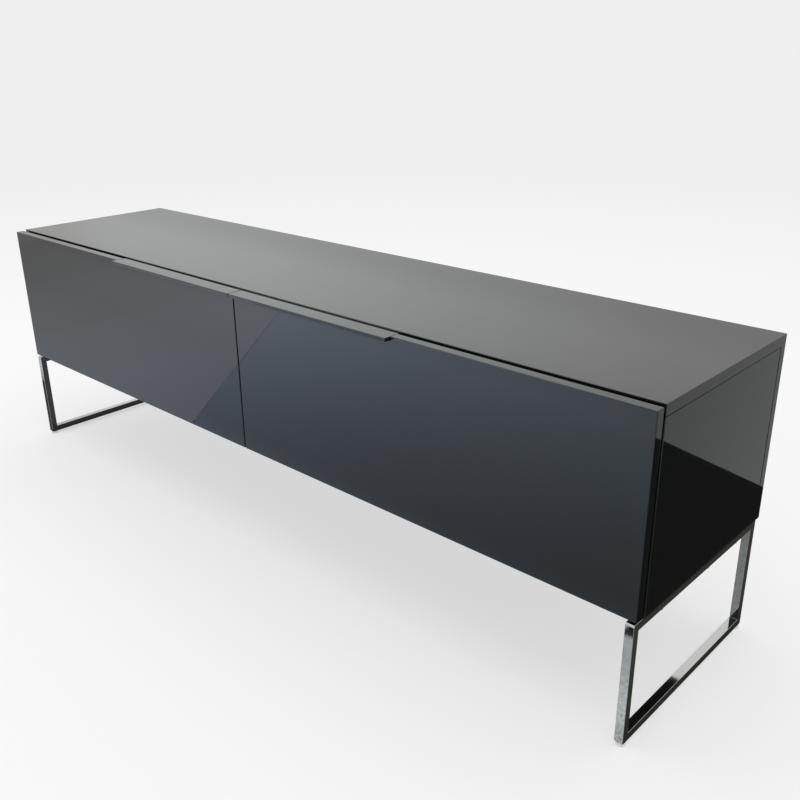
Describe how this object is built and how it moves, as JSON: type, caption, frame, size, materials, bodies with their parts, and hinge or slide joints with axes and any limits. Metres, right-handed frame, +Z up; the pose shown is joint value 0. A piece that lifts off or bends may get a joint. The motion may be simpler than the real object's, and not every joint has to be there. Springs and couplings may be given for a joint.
{
  "type": "dresser with drawers",
  "caption": "Low, wide dresser in high-gloss grey lacquer with side-by-side drawers, lip handles along their upper edges and closed chromed square-tube leg frames.",
  "frame": {"origin": "on the floor, under the centre of the overall plan, handles included", "axes": "+X to the right seen from the front, +Y to the back, +Z up; the drawers open towards -Y"},
  "size_m": [1.8, 0.441, 0.564],
  "materials": {
    "gloss_lacquer": "high-gloss dark grey lacquer on board",
    "lacquered_aluminium": "high-gloss dark grey lacquer",
    "inner_board": "matt grey melamine-faced board",
    "chrome_tube": "bright chrome plate on square steel tube",
    "zinc_runner": "zinc-plated folded steel",
    "zinc_screw": "zinc-plated steel",
    "beech_dowel": "fluted beech",
    "clear_rubber": "soft clear buffer",
    "clear_glide": "frosted clear plastic"
  },
  "bodies": {
    "cabinet": {"top_panel": "gloss_lacquer", "left_side_panel": "gloss_lacquer", "right_side_panel": "gloss_lacquer", "bottom_panel": "gloss_lacquer", "centre_divider": "inner_board", "back_panel": "gloss_lacquer", "carcass_dowels": "beech_dowel", "cam_bolts": "zinc_screw", "cam_discs": "zinc_screw", "back_screws": "zinc_screw", "left_frame_front_post": "chrome_tube", "left_frame_rear_post": "chrome_tube", "left_frame_floor_rail": "chrome_tube", "left_frame_top_rail": "chrome_tube", "right_frame_front_post": "chrome_tube", "right_frame_rear_post": "chrome_tube", "right_frame_floor_rail": "chrome_tube", "right_frame_top_rail": "chrome_tube", "frame_screws": "zinc_screw", "floor_glides": "clear_glide", "left_bay_outer_rail": "zinc_runner", "left_bay_inner_rail": "zinc_runner", "right_bay_outer_rail": "zinc_runner", "right_bay_inner_rail": "zinc_runner", "rail_screws": "zinc_screw"},
    "left_runners": {"left_outer_middle_slide": "zinc_runner", "left_inner_middle_slide": "zinc_runner"},
    "left_drawer": {"left_drawer_front": "gloss_lacquer", "left_drawer_handle": "lacquered_aluminium", "left_handle_screws": "zinc_screw", "left_box_front": "inner_board", "left_box_back": "inner_board", "left_box_outer_side": "inner_board", "left_box_inner_side": "inner_board", "left_box_bottom": "inner_board", "left_box_dowels": "beech_dowel", "left_front_screws": "zinc_screw", "left_outer_drawer_slide": "zinc_runner", "left_inner_drawer_slide": "zinc_runner", "left_slide_screws": "zinc_screw", "left_buffers": "clear_rubber"},
    "right_runners": {"right_outer_middle_slide": "zinc_runner", "right_inner_middle_slide": "zinc_runner"},
    "right_drawer": {"right_drawer_front": "gloss_lacquer", "right_drawer_handle": "lacquered_aluminium", "right_handle_screws": "zinc_screw", "right_box_front": "inner_board", "right_box_back": "inner_board", "right_box_outer_side": "inner_board", "right_box_inner_side": "inner_board", "right_box_bottom": "inner_board", "right_box_dowels": "beech_dowel", "right_front_screws": "zinc_screw", "right_outer_drawer_slide": "zinc_runner", "right_inner_drawer_slide": "zinc_runner", "right_slide_screws": "zinc_screw", "right_buffers": "clear_rubber"}
  },
  "joints": [
    {"name": "left_drawer_slide", "type": "slide", "parent": "cabinet", "child": "left_drawer", "axis": [0, -1, 0], "range_m": [0, 0.35]},
    {"name": "left_runner_slide", "type": "slide", "parent": "cabinet", "child": "left_runners", "axis": [0, -1, 0], "range_m": [0, 0.175]},
    {"name": "right_drawer_slide", "type": "slide", "parent": "cabinet", "child": "right_drawer", "axis": [0, -1, 0], "range_m": [0, 0.35]},
    {"name": "right_runner_slide", "type": "slide", "parent": "cabinet", "child": "right_runners", "axis": [0, -1, 0], "range_m": [0, 0.175]}
  ],
  "couplings": [
    {"joint": "left_runner_slide", "follows": "left_drawer_slide", "ratio": 0.5},
    {"joint": "right_runner_slide", "follows": "right_drawer_slide", "ratio": 0.5}
  ]
}
